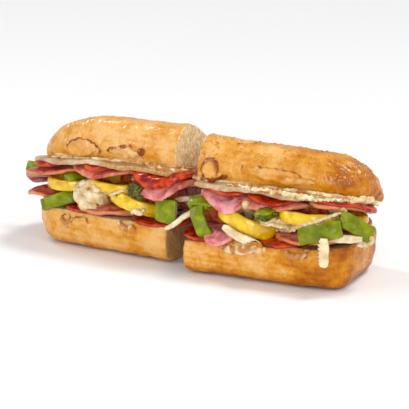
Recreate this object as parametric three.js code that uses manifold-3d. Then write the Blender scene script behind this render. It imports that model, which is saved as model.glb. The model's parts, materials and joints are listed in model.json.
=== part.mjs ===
import * as THREE from "three";
import { mergeVertices } from "three/addons/utils/BufferGeometryUtils.js";
import Module from "manifold-3d";

const wasm = await Module();
wasm.setup();

// A toasted submarine sandwich, cut across into two halves that still lie end to end.
// Millimetres: +X runs along the loaf, -Y is the open front and +Z is up.
// Each half is a bottom bread, meats, vegetables in melted cheese, more meats, a sheet of
// cheese and a top bread that leans back, so that the filling gapes towards the front.

// Driving dimensions of the loaf
const LOAF_WIDTH = 70;
const HALF_WIDTH = LOAF_WIDTH / 2;
const TOP_WIDTH = 61;
const CUT_GAP = 14;
const TOP_LEAN = THREE.MathUtils.degToRad(14.5);

// Thicknesses of the layers, and the room that each stack of them takes
const PROVOLONE = 2.0;
const PEPPERONI = 1.5;
const HAM = 1.7;
const HIGH_STACK = 10.2;
const LOW_STACK = 7.2;

// The clearance that a piece leaves round the pieces laid before it
const LAYER_GAP = 0.7;
const CLEARANCE = 0.45;
const SMALLEST_DETAIL = 0.16;

// The two halves: u runs from 0 at the cut face to the rounded end. The right half lies
// nearer the viewer than the left one and is turned a little about its cut end.
const LEFT = {
  name: "left",
  side: -1,
  turn: 0,
  centre: 2.2,
  setback: 8,
  topStart: -2,
  length: 104,
  topLength: 103,
  endRound: 36,
  endPower: 2.5,
  underRound: 22,
  crownRound: 46,
  crownPower: 2,
  crown: (u) => 1 - 0.02 * Math.cos(u / 14),
  endBulge: 0,
  rim: 22.4,
  rimRise: 2.0,
  lip: 58.8,
  lipDrop: 5.5,
  sheetOver: 5,
};
const RIGHT = {
  name: "right",
  side: 1,
  turn: 5,
  centre: -8.0,
  setback: 13.5,
  topStart: 3,
  length: 99.6,
  topLength: 101.2,
  endRound: 32,
  endPower: 3.5,
  underRound: 7,
  crownRound: 34,
  crownPower: 2.9,
  crown: (u) => 1 - 0.001 * u,
  endBulge: 3,
  rim: 20.4,
  rimRise: 5.5,
  lip: 55.4,
  lipDrop: 1.9,
  sheetOver: 0,
};

// Colours from the photograph
function food(color, roughness) {
  return new THREE.MeshStandardMaterial({ color, roughness, metalness: 0 });
}
const CRUST = food("#d8a25c", 0.45);
const SLICED_CHEESE = food("#ece0c4", 0.4);
const MELTED_CHEESE = food("#e8d6a6", 0.35);
const CURED_SAUSAGE = food("#a8261c", 0.35);
const COOKED_HAM = food("#c96a6c", 0.4);
const BANANA_PEPPER = food("#ecc81c", 0.25);
const GREEN_PEPPER = food("#7fa51c", 0.25);
const ONION = food("#e3d2ae", 0.35);

// A geometry as a closed solid, whichever way its faces point
function solidFrom(geometry) {
  const bare = new THREE.BufferGeometry();
  bare.setAttribute("position", geometry.getAttribute("position"));
  bare.setIndex(geometry.getIndex());
  const merged = mergeVertices(bare, 1e-3);
  const kept = [];
  const index = merged.getIndex().array;
  for (let i = 0; i < index.length; i += 3) {
    const [a, b, c] = index.slice(i, i + 3);
    if (a !== b && b !== c && c !== a) kept.push(a, b, c);
  }
  const positions = new Float32Array(merged.getAttribute("position").array);
  const facing = makeSolid(positions, kept);
  if (facing.volume() > 0) return facing;
  for (let i = 0; i < kept.length; i += 3) {
    [kept[i + 1], kept[i + 2]] = [kept[i + 2], kept[i + 1]];
  }
  return makeSolid(positions, kept);
}

function makeSolid(positions, triangles) {
  const mesh = { numProp: 3, vertProperties: positions, triVerts: new Uint32Array(triangles) };
  return new wasm.Manifold(new wasm.Mesh(mesh));
}

// A solid as a buffer geometry
function geometryFrom(solid) {
  const mesh = solid.getMesh();
  const geometry = new THREE.BufferGeometry();
  geometry.setAttribute("position", new THREE.BufferAttribute(mesh.vertProperties, 3));
  geometry.setIndex(new THREE.BufferAttribute(mesh.triVerts, 1));
  return geometry;
}

// A copy of a solid whose faces are all moved out by the same distance
function grown(solid, distance) {
  const geometry = geometryFrom(solid);
  const position = geometry.getAttribute("position");
  const index = geometry.getIndex().array;
  const corner = [0, 1, 2].map(() => new THREE.Vector3());
  const normals = Array.from({ length: position.count }, () => []);
  for (let i = 0; i < index.length; i += 3) {
    corner.forEach((point, k) => point.fromBufferAttribute(position, index[i + k]));
    const normal = new THREE.Triangle(...corner).getNormal(new THREE.Vector3());
    for (let k = 0; k < 3; k++) {
      const forward = corner[(k + 1) % 3].clone().sub(corner[k]);
      const back = corner[(k + 2) % 3].clone().sub(corner[k]);
      normals[index[i + k]].push({ normal, angle: forward.angleTo(back) });
    }
  }
  const moved = new Float32Array(position.array);
  normals.forEach((faces, vertex) => {
    const outward = new THREE.Vector3();
    faces.forEach(({ normal, angle }) => outward.addScaledVector(normal, angle));
    outward.normalize();
    const slant = Math.min(...faces.map(({ normal }) => normal.dot(outward)));
    const reach = distance / Math.max(slant, 0.5);
    moved[vertex * 3] += outward.x * reach;
    moved[vertex * 3 + 1] += outward.y * reach;
    moved[vertex * 3 + 2] += outward.z * reach;
  });
  return makeSolid(moved, index);
}

// The pieces laid so far, each with the room that it needs
const laid = [];
const sandwich = new THREE.Group();

function meets(a, b) {
  return [0, 1, 2].every((k) => a.min[k] < b.max[k] && b.min[k] < a.max[k]);
}

// Lays a piece: it is cut clear of the pieces laid before it, and loose scraps are dropped
function lay(half, name, material, ...geometries) {
  const joined = geometries.map(solidFrom).reduce((sum, next) => sum.add(next));
  const pivot = half.side * (CUT_GAP / 2);
  const whole = joined.translate([-pivot, 0, 0]).rotate([0, 0, half.turn]).translate([pivot, 0, 0]);
  let piece = whole;
  for (const other of laid) {
    if (meets(piece.boundingBox(), other.room.boundingBox())) {
      piece = piece.subtract(other.room);
    }
  }
  piece = piece.decompose().reduce((a, b) => (a.volume() > b.volume() ? a : b));
  piece = piece.simplify(material === MELTED_CHEESE ? 0.2 : SMALLEST_DETAIL);
  laid.push({ name, room: grown(whole, CLEARANCE) });
  const mesh = new THREE.Mesh(geometryFrom(piece), material);
  mesh.name = name;
  sandwich.add(mesh);
}

// Moves every vertex of a geometry to where the rule sends it
function reshape(geometry, rule) {
  const position = geometry.getAttribute("position");
  const point = new THREE.Vector3();
  for (let i = 0; i < position.count; i++) {
    point.fromBufferAttribute(position, i);
    rule(point);
    position.setXYZ(i, point.x, point.y, point.z);
  }
  return geometry;
}

// Turns a geometry about X, then Y, then Z, in degrees, and moves it to its place
function place(geometry, at, turn = [0, 0, 0]) {
  const [x, y, z] = turn.map(THREE.MathUtils.degToRad);
  const matrix = new THREE.Matrix4().makeRotationFromEuler(new THREE.Euler(x, y, z, "ZYX"));
  matrix.setPosition(...at);
  return geometry.applyMatrix4(matrix);
}

// The distance from the cut face, and the place along X for such a distance
function outFromCut(half, x) {
  return half.side * x - CUT_GAP / 2;
}
function xAt(half, u) {
  return half.side * (CUT_GAP / 2 + u);
}

// The share of the full size that is left at a distance u, on a rounded end
function roundedEnd(u, length, round, power) {
  const into = THREE.MathUtils.clamp((u - length + round) / round, 0, 1);
  return Math.pow(1 - Math.pow(into, power), 1 / power);
}

// The cut surface of the bottom bread, and the underside of the top bread over it
function rimHeight(half, u) {
  return half.rim + half.rimRise * Math.max(0, u / half.length) ** 1.5;
}
function lipHeight(half, u) {
  return half.lip - half.lipDrop * THREE.MathUtils.clamp(u / half.topLength, 0, 1.1) ** 3;
}
function lipFront(half) {
  return half.centre - HALF_WIDTH + half.setback;
}
function floorAt(half, x) {
  return rimHeight(half, outFromCut(half, x));
}
function roofAt(half, x, y) {
  return lipHeight(half, outFromCut(half, x)) - Math.tan(TOP_LEAN) * (y - lipFront(half));
}

// Slow bumps of a hand-shaped loaf, about one millimetre high
function unevenness(a, b) {
  return 0.55 * Math.sin(a / 7.3 + b * 1.7) + 0.45 * Math.sin(a / 12.7 - b * 2.9 + 1.3);
}

// A closed shell through rings of points, with a flat first ring and a pointed tip
function shell(rings, tip) {
  const sides = rings[0].length;
  const start = new THREE.Vector3();
  rings[0].forEach((point) => start.addScaledVector(point, 1 / sides));
  const points = [...rings.flat(), start, tip];
  const [startIndex, tipIndex] = [points.length - 2, points.length - 1];
  const last = (rings.length - 1) * sides;
  const index = [];
  for (let k = 0; k < sides; k++) {
    const next = (k + 1) % sides;
    index.push(startIndex, next, k);
    for (let row = 0; row < last; row += sides) {
      index.push(row + k, row + next, row + sides + next);
      index.push(row + k, row + sides + next, row + sides + k);
    }
    index.push(last + k, last + next, tipIndex);
  }
  return new THREE.BufferGeometry().setFromPoints(points).setIndex(index);
}

// Distances of the loaf's sections from the cut: even at first, then closer round the end
function stations(start, length, round, straightSteps, roundSteps) {
  const straight = length - round;
  const found = [];
  for (let i = 0; i < straightSteps; i++) {
    found.push(THREE.MathUtils.lerp(start, straight, i / straightSteps));
  }
  for (let j = 0; j < roundSteps; j++) {
    found.push(straight + round * Math.sin((Math.PI / 2) * (j / roundSteps)) ** 0.9);
  }
  return found;
}

// Outlines of the two breads at the cut face, as points that a smooth curve runs through.
// Bottom bread: shares of the half width and of the height, from the front rim round below.
const BOTTOM_OUTLINE = [
  [-0.955, 0], [-0.99, 0.12], [-1, 0.36], [-0.985, 0.62], [-0.94, 0.84], [-0.84, 0.96], [-0.66, 1],
  [0, 1], [0.66, 1], [0.84, 0.96], [0.94, 0.84], [0.985, 0.62], [1, 0.36], [0.99, 0.12], [0.955, 0],
];
// Top bread: millimetres across from the front lip, and out from the leaning underside.
const TOP_OUTLINE = [
  [0.8, 0], [-1.4, 4.5], [-1.8, 10], [-0.4, 16], [3, 21.6], [8.5, 25], [16, 25.4],
  [25, 23.6], [34, 20.6], [43, 16.8], [51.5, 12], [57.5, 6.5], [60.5, 2.6], [60, 0],
];
const CRUST_STEPS = 15;
const CRUMB_STEPS = 3;

function outlinePoints(outline) {
  const curve = new THREE.SplineCurve(outline.map(([a, b]) => new THREE.Vector2(a, b)));
  return curve.getSpacedPoints(CRUST_STEPS);
}

// The bottom outline is spaced evenly at its real size and then turned back into shares
const BOTTOM_DEPTH = 24;
const bottomMillimetres = BOTTOM_OUTLINE.map(([a, b]) => [a * HALF_WIDTH, b * BOTTOM_DEPTH]);
const bottomPoints = outlinePoints(bottomMillimetres).map(
  (point) => new THREE.Vector2(point.x / HALF_WIDTH, Math.min(1, point.y / BOTTOM_DEPTH)),
);
const topPoints = outlinePoints(TOP_OUTLINE);

// A section of the bottom bread: flat on top, with a steep front that rolls under
function bottomSection(half, u) {
  const wide = HALF_WIDTH * roundedEnd(u, half.length, half.endRound, half.endPower);
  const rim = rimHeight(half, u);
  const under = rim * 0.94 * (1 - roundedEnd(u, half.length, half.underRound, 2.1));
  const points = bottomPoints.map((share, k) => {
    const bump = unevenness(u, k / 5) * Math.sin((Math.PI * k) / CRUST_STEPS) ** 0.5;
    const y = share.x * (wide + bump * 0.6);
    return new THREE.Vector3(xAt(half, u), half.centre + y, rim - (rim - under) * share.y);
  });
  for (let k = 1; k < CRUMB_STEPS; k++) {
    const share = k / CRUMB_STEPS;
    const y = wide * 0.955 * (1 - 2 * share);
    const z = rim - 0.6 * Math.sin(Math.PI * share);
    points.push(new THREE.Vector3(xAt(half, u), half.centre + y, z));
  }
  return points;
}

// A point of the top bread from its place across the bread and its height over the underside
function leaning(half, u, across, height) {
  const y = lipFront(half) + across * Math.cos(TOP_LEAN) + height * Math.sin(TOP_LEAN);
  const z = lipHeight(half, u) - across * Math.sin(TOP_LEAN) + height * Math.cos(TOP_LEAN);
  return new THREE.Vector3(xAt(half, u), y, z);
}

// A section of the top bread: a steep front, a crown near it and a long fall to the back
function topSection(half, u) {
  const wide = roundedEnd(u, half.topLength, half.endRound, half.endPower);
  const full = half.crown(u) * roundedEnd(u, half.topLength, half.crownRound, half.crownPower);
  const bulge = half.endBulge * 4 * wide * (1 - wide);
  const points = topPoints.map((point, k) => {
    const above = Math.sin((Math.PI * k) / CRUST_STEPS);
    const bump = unevenness(u + 40, k / 5) * above;
    const across = TOP_WIDTH / 2 + (point.x - TOP_WIDTH / 2) * wide;
    const place = leaning(half, u, across, point.y * full + bump);
    place.x += half.side * bulge * above;
    return place;
  });
  for (let k = 1; k < CRUMB_STEPS; k++) {
    const share = k / CRUMB_STEPS;
    const across = TOP_WIDTH / 2 + (TOP_WIDTH / 2) * wide * (1 - 2 * share);
    points.push(leaning(half, u, across, 0.6 * Math.sin(Math.PI * share)));
  }
  return points;
}

// A flat lump of browned cheese stuck to a crust, at a point of a section
function crustPatch(half, section, u, k, width, tall, thick = 1.5) {
  const [middle, above, beside] = [section(half, u)[k], section(half, u)[k + 1], section(half, u + 3)[k]];
  const up = above.clone().sub(middle).normalize();
  const along = beside.clone().sub(middle).normalize();
  const out = along.clone().cross(up).normalize();
  if (out.y > 0) out.negate();
  const patch = new THREE.SphereGeometry(1, 10, 6);
  patch.scale(width / 2, tall / 2, thick);
  const frame = new THREE.Matrix4().makeBasis(along, out.clone().cross(along), out);
  return patch.applyMatrix4(frame.setPosition(middle));
}

function bottomBread(half, patches) {
  const rings = stations(0, half.length, half.endRound, 7, 8).map((u) => bottomSection(half, u));
  const tip = new THREE.Vector3(xAt(half, half.length), half.centre, rimHeight(half, half.length));
  lay(half, "bottom_bread_" + half.name, CRUST, shell(rings, tip), ...patches);
}

function topBread(half, patches) {
  const rings = stations(half.topStart, half.topLength, half.endRound, 7, 8).map((u) => topSection(half, u));
  const tip = leaning(half, half.topLength, TOP_WIDTH / 2, 1.5 + 1.6 * half.endBulge);
  tip.x += half.side * half.endBulge;
  lay(half, "top_bread_" + half.name, CRUST, shell(rings, tip), ...patches);
}

// A soft layer that reaches past the front edge of what holds it bends down round an arc
const FLOP_RADIUS = 12.5;
const FLOP_ANGLE = THREE.MathUtils.degToRad(72);
function flop(past, radius = FLOP_RADIUS) {
  const angle = Math.min(past / radius, FLOP_ANGLE);
  const straight = past - radius * angle;
  return {
    out: radius * Math.sin(angle) + straight * Math.cos(FLOP_ANGLE),
    drop: radius * (1 - Math.cos(angle)) + straight * Math.sin(FLOP_ANGLE),
  };
}

// A level is where a layer lies: its front edge, and its height at a place on the plan.
// The upper stack hangs under the top bread; the lower one lies on the bottom bread.
function upperLevel(half, under) {
  const front = lipFront(half);
  return {
    half,
    front,
    at: (x, y) => roofAt(half, x, y) - under + 0.35 * Math.sin(x / 13),
  };
}
function lowerLevel(half, over) {
  const front = half.centre - HALF_WIDTH + 2.5;
  return {
    half,
    front,
    at: (x, y) => floorAt(half, x) + over + 0.3 * Math.sin(x / 13),
  };
}

// A point of a layer: it follows the level, flops past the front and sags past the end
function layPoint(level, x, y, offset) {
  const past = Math.max(0, level.front - y);
  const { out, drop } = flop(past);
  const beyond = Math.max(0, outFromCut(level.half, x) - level.half.length + 4);
  const within = Math.max(y, level.front);
  const height = level.at(x, within) - drop - 0.03 * beyond * beyond + offset;
  return new THREE.Vector3(x, past > 0 ? level.front - out : y, height);
}

// A thin round slice with a slightly wavy outline, and perhaps a longer tongue at one angle
function slice(level, [x, y, radius, depth = radius, tongue], thickness, sides, inner) {
  const profile = [
    new THREE.Vector2(0, -1),
    ...inner.map((r) => new THREE.Vector2(r, -1)),
    new THREE.Vector2(1, -1),
    new THREE.Vector2(1, 1),
    ...inner.toReversed().map((r) => new THREE.Vector2(r, 1)),
    new THREE.Vector2(0, 1),
  ];
  return reshape(new THREE.LatheGeometry(profile, sides), (point) => {
    const angle = Math.atan2(point.z, point.x);
    const aim = tongue ? angle - THREE.MathUtils.degToRad(tongue.angle) : 0;
    const reach = tongue ? 1 + tongue.reach * Math.exp(-((aim / tongue.wide) ** 2)) : 1;
    const wavy = reach + 0.025 * Math.sin(3 * angle + x) + 0.02 * Math.sin(5 * angle + y);
    const offset = (point.y * thickness) / 2;
    const across = x + point.x * radius * wavy;
    const back = y + point.z * depth * wavy;
    point.copy(layPoint(level, across, back, offset));
  });
}

// The sheet of sliced cheese under the top bread, melted to its outline
function provolone(half) {
  const sheet = new THREE.BoxGeometry(1, 1, 1, 12, 5, 1);
  const first = half.topStart + 0.5;
  const last = half.topLength + half.sheetOver;
  const level = upperLevel(half, 0.6 + PROVOLONE / 2);
  const back = half.centre + HALF_WIDTH - 2;
  reshape(sheet, (point) => {
    const u = first + (last - first) * (point.x + 0.5) ** 0.9;
    const x = xAt(half, u);
    const full = Math.max(0.4, roundedEnd(u, last + 2, 36, 2.4));
    const front = lipFront(half) - 6.8 + 1.2 * Math.sin(u / 6.1 + half.side);
    const y = (front + back) / 2 + (back - front) * point.y * full;
    point.copy(layPoint(level, x, y, point.z * PROVOLONE));
  });
  lay(half, "provolone_" + half.name, SLICED_CHEESE, sheet);
}

// Slices of one kind, each [layer, x, y, radius, depth, tongue]; layer 0 is nearest the bread
function slices(half, name, material, upper, first, spots) {
  const isHam = material === COOKED_HAM;
  const thickness = isHam ? HAM : PEPPERONI;
  const detail = isHam ? [22, [0.78]] : [18, [0.68]];
  spots.forEach(([layer, ...spot], i) => {
    const away = first + thickness / 2 + layer * (thickness + LAYER_GAP);
    const level = upper ? upperLevel(half, away) : lowerLevel(half, away);
    const piece = slice(level, spot, thickness, ...detail);
    lay(half, name + "_" + half.name + "_" + (i + 1), material, piece);
  });
}

// A ring cut from a banana pepper: an oval with a thin wall and a rounded skin outside
function pepperRing(half, name, outer, wall, tall, at, turn) {
  const inner = outer - wall;
  const h = tall / 2;
  const profile = [
    [inner, -h],
    [inner, h],
    [outer - 0.6, h],
    [outer, h * 0.3],
    [outer, -h * 0.4],
    [outer - 0.8, -h],
    [inner, -h],
  ].map(([r, z]) => new THREE.Vector2(r, z));
  const ring = new THREE.LatheGeometry(profile, 17).rotateX(Math.PI / 2);
  reshape(ring, (point) => {
    const angle = Math.atan2(point.y, point.x);
    const lobes = 1 + 0.035 * Math.sin(3 * angle + at[0]) + 0.02 * Math.sin(2 * angle);
    point.set(point.x * lobes * 1.08, point.y * lobes * 0.8, point.z);
  });
  lay(half, name, BANANA_PEPPER, place(ring, at, turn));
}

// A strip bent on an arc along its length, with its skin on the outside of the bend
function strip(length, width, thickness, bend, taper = 0.9, steps = 5) {
  const box = new THREE.BoxGeometry(length, width, thickness, steps, 2, 1);
  return reshape(box, (point) => {
    const end = Math.abs(point.x) > length / 2 - 0.01 ? taper : 1;
    const crown = 0.09 * width * (1 - (2 * point.y / width) ** 2);
    const radius = bend + point.z + crown;
    const angle = point.x / bend;
    point.set(radius * Math.sin(angle), point.y * end, radius * Math.cos(angle) - bend);
  });
}

function greenPepper(half, name, [length, width, wall, bend], at, turn) {
  lay(half, name, GREEN_PEPPER, place(strip(length, width, wall, bend), at, turn));
}

function onionStrip(half, name, [length, width, wall, bend], at, turn) {
  lay(half, name, ONION, place(strip(length, width, wall, bend, 0.6, 6), at, turn));
}

// A lump of melted cheese
function lump(at, size, turn) {
  const ball = new THREE.SphereGeometry(0.5, 8, 5);
  ball.scale(...size);
  return place(ball, at, turn);
}

// The melted cheese that holds the vegetables: a wedge between the two stacks, with lumps
function meltedCheese(half, lumps) {
  const wedge = new THREE.BoxGeometry(1, 1, 1, 6, 4, 1);
  const first = 2;
  const last = half.length - 9;
  reshape(wedge, (point) => {
    const u = first + (last - first) * (point.x + 0.5);
    const x = xAt(half, u);
    const wide = (HALF_WIDTH - 8) * Math.max(0.3, roundedEnd(u, last + 4, 34, 2.3));
    const front = half.centre - HALF_WIDTH + 21;
    const y = front + (point.y + 0.5) * (half.centre + wide - front) + Math.sin(u / 5.3);
    const low = floorAt(half, x) + LOW_STACK;
    const high = Math.max(low + 1.4, roofAt(half, x, y) - HIGH_STACK);
    point.set(x, y, point.z < 0 ? low : high);
  });
  lay(half, "melted_cheese_" + half.name, MELTED_CHEESE, wedge, ...lumps.map((one) => lump(...one)));
}

// The bread, with the cheese that ran over it and browned
bottomBread(LEFT, [
  crustPatch(LEFT, bottomSection, 64, 1, 15, 7),
  crustPatch(LEFT, bottomSection, 24, 1, 11, 7),
]);
bottomBread(RIGHT, [
  crustPatch(RIGHT, bottomSection, 38, 0, 26, 7),
  crustPatch(RIGHT, bottomSection, 71, 1, 14, 7),
]);
topBread(LEFT, [
  crustPatch(LEFT, topSection, 64, 1, 25, 13),
  crustPatch(LEFT, topSection, 29, 1, 23, 6),
]);
topBread(RIGHT, [
  crustPatch(RIGHT, topSection, 13, 1, 13, 15),
  crustPatch(RIGHT, topSection, 55, 1, 30, 8),
]);

// A folded slice of ham that hangs in front of the right half's vegetables
slices(RIGHT, "ham_fold", COOKED_HAM, true, 8.6, [
  [0, 28, -6, 21, 32, { angle: -74, reach: 0.26, wide: 0.5 }],
]);

// Vegetables of the left half
pepperRing(LEFT, "banana_pepper_left_1", 14, 3, 6.5, [-84, -18.6, 38], [0, -2, 0]);
pepperRing(LEFT, "banana_pepper_left_2", 16, 3, 6, [-48, -20.6, 41.5], [0, 3, 0]);
pepperRing(LEFT, "banana_pepper_left_3", 16, 3, 8, [-33.5, -21.1, 33], [-6, 14, 0]);
greenPepper(LEFT, "green_pepper_left_1", [22, 7.5, 3.6, 30], [-121.5, 4, 37.4], [66, 8, 14]);
greenPepper(LEFT, "green_pepper_left_2", [22, 7.5, 4, 24], [-87, -29.5, 28.5], [66, -18, 12]);
greenPepper(LEFT, "green_pepper_left_3", [15, 7, 3.4, 20], [-75, -24, 44.5], [0, 6, 70]);
greenPepper(LEFT, "green_pepper_left_4", [14, 10, 8.5, 30], [-25.5, -29, 43.5], [0, 0, 80]);
greenPepper(LEFT, "green_pepper_left_5", [12.5, 14, 4.4, 24], [-6.5, -32, 33.5], [84, 0, 2]);
greenPepper(LEFT, "green_pepper_left_6", [24, 8, 3.4, 40], [-52, 30, 30], [-6, 0, 30]);

// Vegetables of the right half
pepperRing(RIGHT, "banana_pepper_right_1", 17, 3, 8.5, [41.5, -27.6, 32.5], [-6, 20, 0]);
pepperRing(RIGHT, "banana_pepper_right_2", 17, 3, 6.5, [79, -26.6, 40], [0, 0, 0]);
pepperRing(RIGHT, "banana_pepper_right_3", 11, 3, 5, [98, -16.6, 38.6], [0, 3, 0]);
greenPepper(RIGHT, "green_pepper_right_1", [14, 8, 3.6, 26], [14.5, -34, 42], [20, 4, 14]);
greenPepper(RIGHT, "green_pepper_right_2", [27, 8, 3.6, 16], [17.5, -40.5, 31], [82, 68, 0]);
greenPepper(RIGHT, "green_pepper_right_3", [16, 8.5, 4.5, 22], [57.5, -36, 41], [0, 0, 70]);
greenPepper(RIGHT, "green_pepper_right_4", [25, 10, 4.4, 34], [90.5, -42, 34.8], [80, -17, 4]);
greenPepper(RIGHT, "green_pepper_right_5", [22, 9.5, 4, 28], [107.5, -30, 37.5], [74, 34, 40]);
greenPepper(RIGHT, "green_pepper_right_6", [24, 8, 3.4, 40], [61.7, 22.2, 29], [-6, 0, -24]);

// Onions
onionStrip(LEFT, "onion_across_the_cut", [27, 3.2, 1.8, 22], [5.5, -34, 31], [80, -34, 26]);
onionStrip(LEFT, "onion_left_1", [26, 3, 1.8, 50], [3, -15, 39], [80, -8, 30]);
onionStrip(RIGHT, "onion_right_1", [25, 5, 2.2, 40], [43.5, -42, 26.5], [80, 22, 4]);
onionStrip(RIGHT, "onion_right_2", [16, 6.2, 2, 60], [94.5, -47, 25.5], [90, 88, 0]);
onionStrip(RIGHT, "onion_right_3", [26, 4.4, 2, 40], [100, -37, 31.5], [80, 2, 20]);

// The lower meats
slices(LEFT, "pepperoni_low", CURED_SAUSAGE, false, 0.5, [
  [0, -19, -14, 19.5],
  [0, -68, -13, 19.5],
  [0, -43, 18, 18],
]);
slices(LEFT, "ham_low", COOKED_HAM, false, 2.7, [
  [1, -92, 2, 32, 31],
  [0, -55, -2, 28, 33],
]);
slices(RIGHT, "pepperoni_low", CURED_SAUSAGE, false, 0.5, [
  [0, 20, -23.5, 19.5],
  [0, 65, -23, 19.5],
  [0, 43, 9, 18],
]);
slices(RIGHT, "ham_low", COOKED_HAM, false, 2.7, [
  [0, 30, -9, 20, 32, { angle: -97, reach: 0.3, wide: 0.42 }],
  [0, 80, -9, 28, 33],
]);

// The cheese sheets and the upper meats
provolone(LEFT);
provolone(RIGHT);
slices(LEFT, "pepperoni", CURED_SAUSAGE, true, 3.3, [
  [0, -92, -13.2, 18],
  [0, -56, -13.7, 19.5],
  [0, -14.5, -19.5, 20.5],
  [0, -38, 21, 15],
]);
slices(LEFT, "ham", COOKED_HAM, true, 5.5, [
  [1, -92, -1, 31, 31],
  [0, -55, -2.5, 30, 33],
  [1, -14.5, -5.5, 22.5, 37],
]);
slices(RIGHT, "pepperoni", CURED_SAUSAGE, true, 3.3, [
  [0, 30, -18.3, 19.5],
  [1, 56, -18.5, 19.5],
  [0, 94, -15.5, 19],
  [0, 69, 14, 16],
]);
slices(RIGHT, "ham", COOKED_HAM, true, 5.5, [
  [1, 54, -8, 30.5, 32],
  [0, 91, -7, 18, 29],
]);

// Melted cheese, last, round all that it holds
meltedCheese(LEFT, [
  [[-63, -20, 34], [25, 29, 17], [0, 14, 0]],
  [[-43, -19, 37.5], [22, 28, 6], [0, 6, 0]],
]);
meltedCheese(RIGHT, [
  [[35, -25, 39.5], [9, 28, 12], [0, 0, 0]],
  [[58, -26, 36.5], [26, 28, 8], [0, 10, 0]],
  [[84, -25, 35.5], [34, 30, 7], [0, -4, 0]],
]);

// The origin is under the middle of the sandwich, on what it stands on
const bounds = new THREE.Box3().setFromObject(sandwich);
const middle = bounds.getCenter(new THREE.Vector3());
sandwich.position.set(-middle.x, -middle.y, -bounds.min.z);

export default sandwich;
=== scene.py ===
# %% [markdown]
# A toasted submarine sandwich
#
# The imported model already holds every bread, slice, ring and strip of this sandwich at its
# real size and place, as plain faceted solids. This lesson turns each solid into the food
# it stands for: the form stays, and the skin, the relief and the colours are made here.

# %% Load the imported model
import json
import math

import bmesh
import bpy
import numpy as np
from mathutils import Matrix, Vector
from mathutils.bvhtree import BVHTree


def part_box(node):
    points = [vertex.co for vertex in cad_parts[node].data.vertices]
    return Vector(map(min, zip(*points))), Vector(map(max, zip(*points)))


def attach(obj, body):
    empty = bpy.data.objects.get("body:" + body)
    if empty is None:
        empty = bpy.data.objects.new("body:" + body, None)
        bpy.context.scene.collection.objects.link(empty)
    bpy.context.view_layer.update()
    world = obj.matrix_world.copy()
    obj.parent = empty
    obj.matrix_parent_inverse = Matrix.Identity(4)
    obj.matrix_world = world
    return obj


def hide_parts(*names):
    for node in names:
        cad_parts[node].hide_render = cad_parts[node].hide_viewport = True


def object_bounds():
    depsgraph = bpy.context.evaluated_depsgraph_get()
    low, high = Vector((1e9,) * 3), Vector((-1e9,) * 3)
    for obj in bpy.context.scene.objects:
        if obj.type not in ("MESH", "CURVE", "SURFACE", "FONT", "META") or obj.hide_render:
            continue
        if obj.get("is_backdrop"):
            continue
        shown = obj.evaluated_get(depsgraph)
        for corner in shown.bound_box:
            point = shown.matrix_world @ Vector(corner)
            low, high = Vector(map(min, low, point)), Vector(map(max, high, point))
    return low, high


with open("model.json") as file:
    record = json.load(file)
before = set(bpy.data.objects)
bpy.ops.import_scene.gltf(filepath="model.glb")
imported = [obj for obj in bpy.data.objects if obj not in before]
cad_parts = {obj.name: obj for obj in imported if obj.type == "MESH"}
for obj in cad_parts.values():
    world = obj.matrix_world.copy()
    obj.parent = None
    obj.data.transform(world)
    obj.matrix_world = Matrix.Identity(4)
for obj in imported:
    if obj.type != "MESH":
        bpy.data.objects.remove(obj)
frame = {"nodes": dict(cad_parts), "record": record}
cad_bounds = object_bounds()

MM = 0.001
print(len(frame["nodes"]), "solids, from", [round(v / MM, 1) for v in cad_bounds[0]],
      "to", [round(v / MM, 1) for v in cad_bounds[1]], "mm")

# %% [markdown]
# The camera
#
# The photograph was taken from the front right, a little above the table. A long lens keeps
# the two halves almost parallel. The same values also send a ray through any pixel of the
# photograph, so that a bubble of cheese can be put where the photograph shows it.

# %% Camera
PHOTO_PIXELS = 409
FOCAL_PIXELS = 1485
SENSOR = 36
AZIMUTH = math.radians(30)
ELEVATION = math.radians(15)
DISTANCE = 900 * MM
TARGET = Vector((4.29, 11.02, 28.5)) * MM

toward_camera = Vector((math.sin(AZIMUTH) * math.cos(ELEVATION),
                        -math.cos(AZIMUTH) * math.cos(ELEVATION),
                        math.sin(ELEVATION)))
picture_right = Vector((math.cos(AZIMUTH), math.sin(AZIMUTH), 0))
picture_up = toward_camera.cross(picture_right)

camera_data = bpy.data.cameras.new("camera")
camera_data.sensor_width = SENSOR
camera_data.lens = SENSOR * FOCAL_PIXELS / PHOTO_PIXELS
camera_data.clip_start = 10 * MM
camera = bpy.data.objects.new("camera", camera_data)
camera.location = TARGET + toward_camera * DISTANCE
camera.rotation_euler = toward_camera.to_track_quat("Z", "Y").to_euler()
bpy.context.scene.collection.objects.link(camera)
bpy.context.scene.camera = camera
print("lens", round(camera_data.lens, 1), "mm at", [round(v, 3) for v in camera.location])


def pixel_direction(across, down):
    """The direction in which the camera sees a pixel of the photograph."""
    middle = PHOTO_PIXELS / 2
    aim = (-toward_camera + picture_right * ((across - middle) / FOCAL_PIXELS)
           + picture_up * ((middle - down) / FOCAL_PIXELS))
    return aim.normalized()


# %% [markdown]
# Table and light
#
# A plain pale table top and soft light, as in a studio. The main light comes from far away,
# above and a little behind, so that the shadow falls towards the viewer. A narrower one
# from the left and two small lamps give the wet crust and the peppers their glints, and
# three broad lamps open up the front and the sides.
# The standard view transform shows colours as they are, which keeps fresh food saturated.

# %% Table and light
SCENE = bpy.context.scene.collection
TABLE_HALF = 6
TABLE_COLOUR = (0.9, 0.9, 0.9, 1)
TABLE_ROUGHNESS = 0.6
ROOM_LIGHT = 0.42

# the direction that the light comes from, its strength and its spread in degrees
SKIES = {
    "sky_above": ((0.35, 0.45, 1.1), 1.45, 20),
    "sky_left": ((-0.61, 0.15, 0.78), 0.6, 9),
}
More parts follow.
